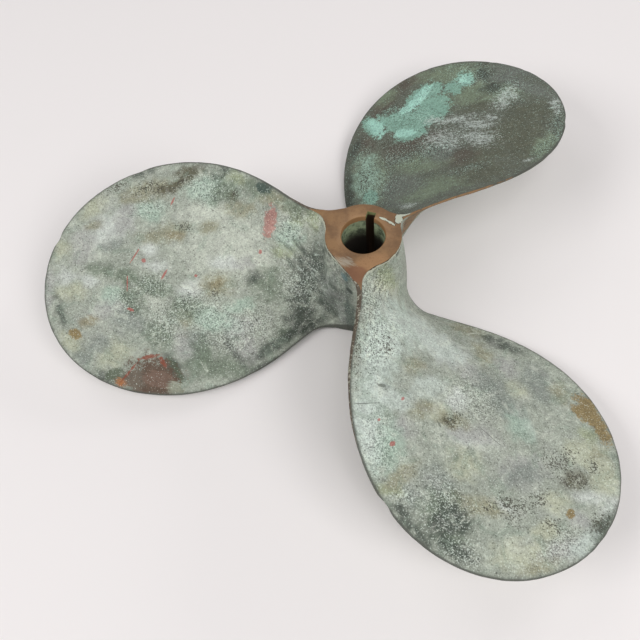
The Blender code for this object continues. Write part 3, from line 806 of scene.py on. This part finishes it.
# On the taper's own wall this stays at the bore's small end; in the key seat it is more.
untapered = node(tree, "Math", {0: height, 1: BORE_TAPER, 2: reach}, operation="MULTIPLY_ADD")
cloud = node(tree, "TexNoise", {"Vector": spot, "Scale": 1 / 0.008, "Detail": 5.0, "Roughness": 0.7})
fleck = node(tree, "TexNoise", {"Vector": spot, "Scale": 1 / 0.0022, "Detail": 3.0, "Roughness": 0.75})
depth = node(tree, "Math", {0: cloud, 1: 0.006, 2: height}, operation="MULTIPLY_ADD")
wall = coat(tree, colour("525b49"), colour("8a9678"), cloud, 0.35, 0.6)
wall = coat(tree, wall, colour("a5b394"), fleck, 0.56, 0.66, 0.6)
wall = coat(tree, wall, colour("8a6846"), depth, TOP_Z - 0.0022, TOP_Z - 0.0014)
# Painted shade: from 8 to 24 mm below the top the bore wall darkens to near black.
wall = coat(tree, wall, colour("2a2621"), depth, TOP_Z - 0.008, TOP_Z - 0.024)
seat_starts = BORE_TOP + TOP_Z * BORE_TAPER
seat = coat(tree, colour("4b3a2b"), colour("8d9468"), depth, TOP_Z - 0.0014, TOP_Z - 0.0002)
wall = coat(tree, wall, seat, untapered, seat_starts + 0.0004, seat_starts + 0.0010)
tree.links.new(wall, shader.inputs["Base Color"])
shader.inputs["Roughness"].default_value = 0.9
shader.inputs["Specular IOR Level"].default_value = 0.15

for material in (patina, faced, bored):
    mesh.materials.append(material)
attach(casting, "root")
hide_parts("propeller_casting")


# The floor: a plain pale sheet that the propeller's hub stands on.
floor_shape = bmesh.new()
bmesh.ops.create_grid(floor_shape, x_segments=1, y_segments=1, size=4.0)
bmesh.ops.translate(floor_shape, verts=floor_shape.verts, vec=(0, 0, BOTTOM_Z))
floor_mesh = bpy.data.meshes.new("floor")
floor_shape.to_mesh(floor_mesh)
floor_shape.free()
floor = bpy.data.objects.new("floor", floor_mesh)
bpy.context.scene.collection.objects.link(floor)
paper = bpy.data.materials.new("matt pale paper")
paper.use_nodes = True
shader = paper.node_tree.nodes["Principled BSDF"]
shader.inputs["Base Color"].default_value = colour("f4efee")
shader.inputs["Roughness"].default_value = 0.9
floor_mesh.materials.append(paper)

# Soft studio light: wide panels low on both sides of the camera and one overhead, two weaker ones behind,
# in a bright room. The picture keeps its plain tones, so the paper comes out as pale as it is.
PANELS = {"left panel": ((-2.07, -0.75, 1.72), 1.3, 27.0), "right panel": ((1.42, -1.47, 1.91), 1.4, 30.5),
          "top panel": ((0.18, -1.03, 2.60), 1.0, 14.0), "back left panel": ((-1.34, 1.59, 1.87), 1.3, 7.5),
          "back right panel": ((2.00, 1.70, 0.96), 1.0, 18.0)}
for name, (place, size, power) in PANELS.items():
    light = bpy.data.lights.new(name, "AREA")
    light.shape = "SQUARE"
    light.size = size
    light.energy = power
    lamp = bpy.data.objects.new(name, light)
    lamp.location = place
    lamp.rotation_euler = (-Vector(place)).to_track_quat("-Z", "Y").to_euler()
    bpy.context.scene.collection.objects.link(lamp)
bpy.context.scene.view_settings.view_transform = "Standard"
world = bpy.data.worlds.new("bright room")
world.use_nodes = True
world.node_tree.nodes["Background"].inputs["Color"].default_value = colour("f4f4f6")
world.node_tree.nodes["Background"].inputs["Strength"].default_value = 0.23
bpy.context.scene.world = world

# The camera stands close over the propeller, at the photograph's angle.
CAMERA_PLACE = Vector((-0.0092, -0.3086, 0.4798))
CAMERA_AIM = Vector((-0.0374, -0.0197, -0.0408))
CAMERA_ROLL = math.radians(-7.794)
lens = bpy.data.cameras.new("camera")
lens.lens = 41.3
lens.sensor_width = 36.0
camera = bpy.data.objects.new("camera", lens)
turn = (CAMERA_AIM - CAMERA_PLACE).to_track_quat("-Z", "Y").to_matrix().to_4x4()
camera.matrix_world = Matrix.Translation(CAMERA_PLACE) @ turn @ Matrix.Rotation(CAMERA_ROLL, 4, "Z")
bpy.context.scene.collection.objects.link(camera)
bpy.context.scene.camera = camera
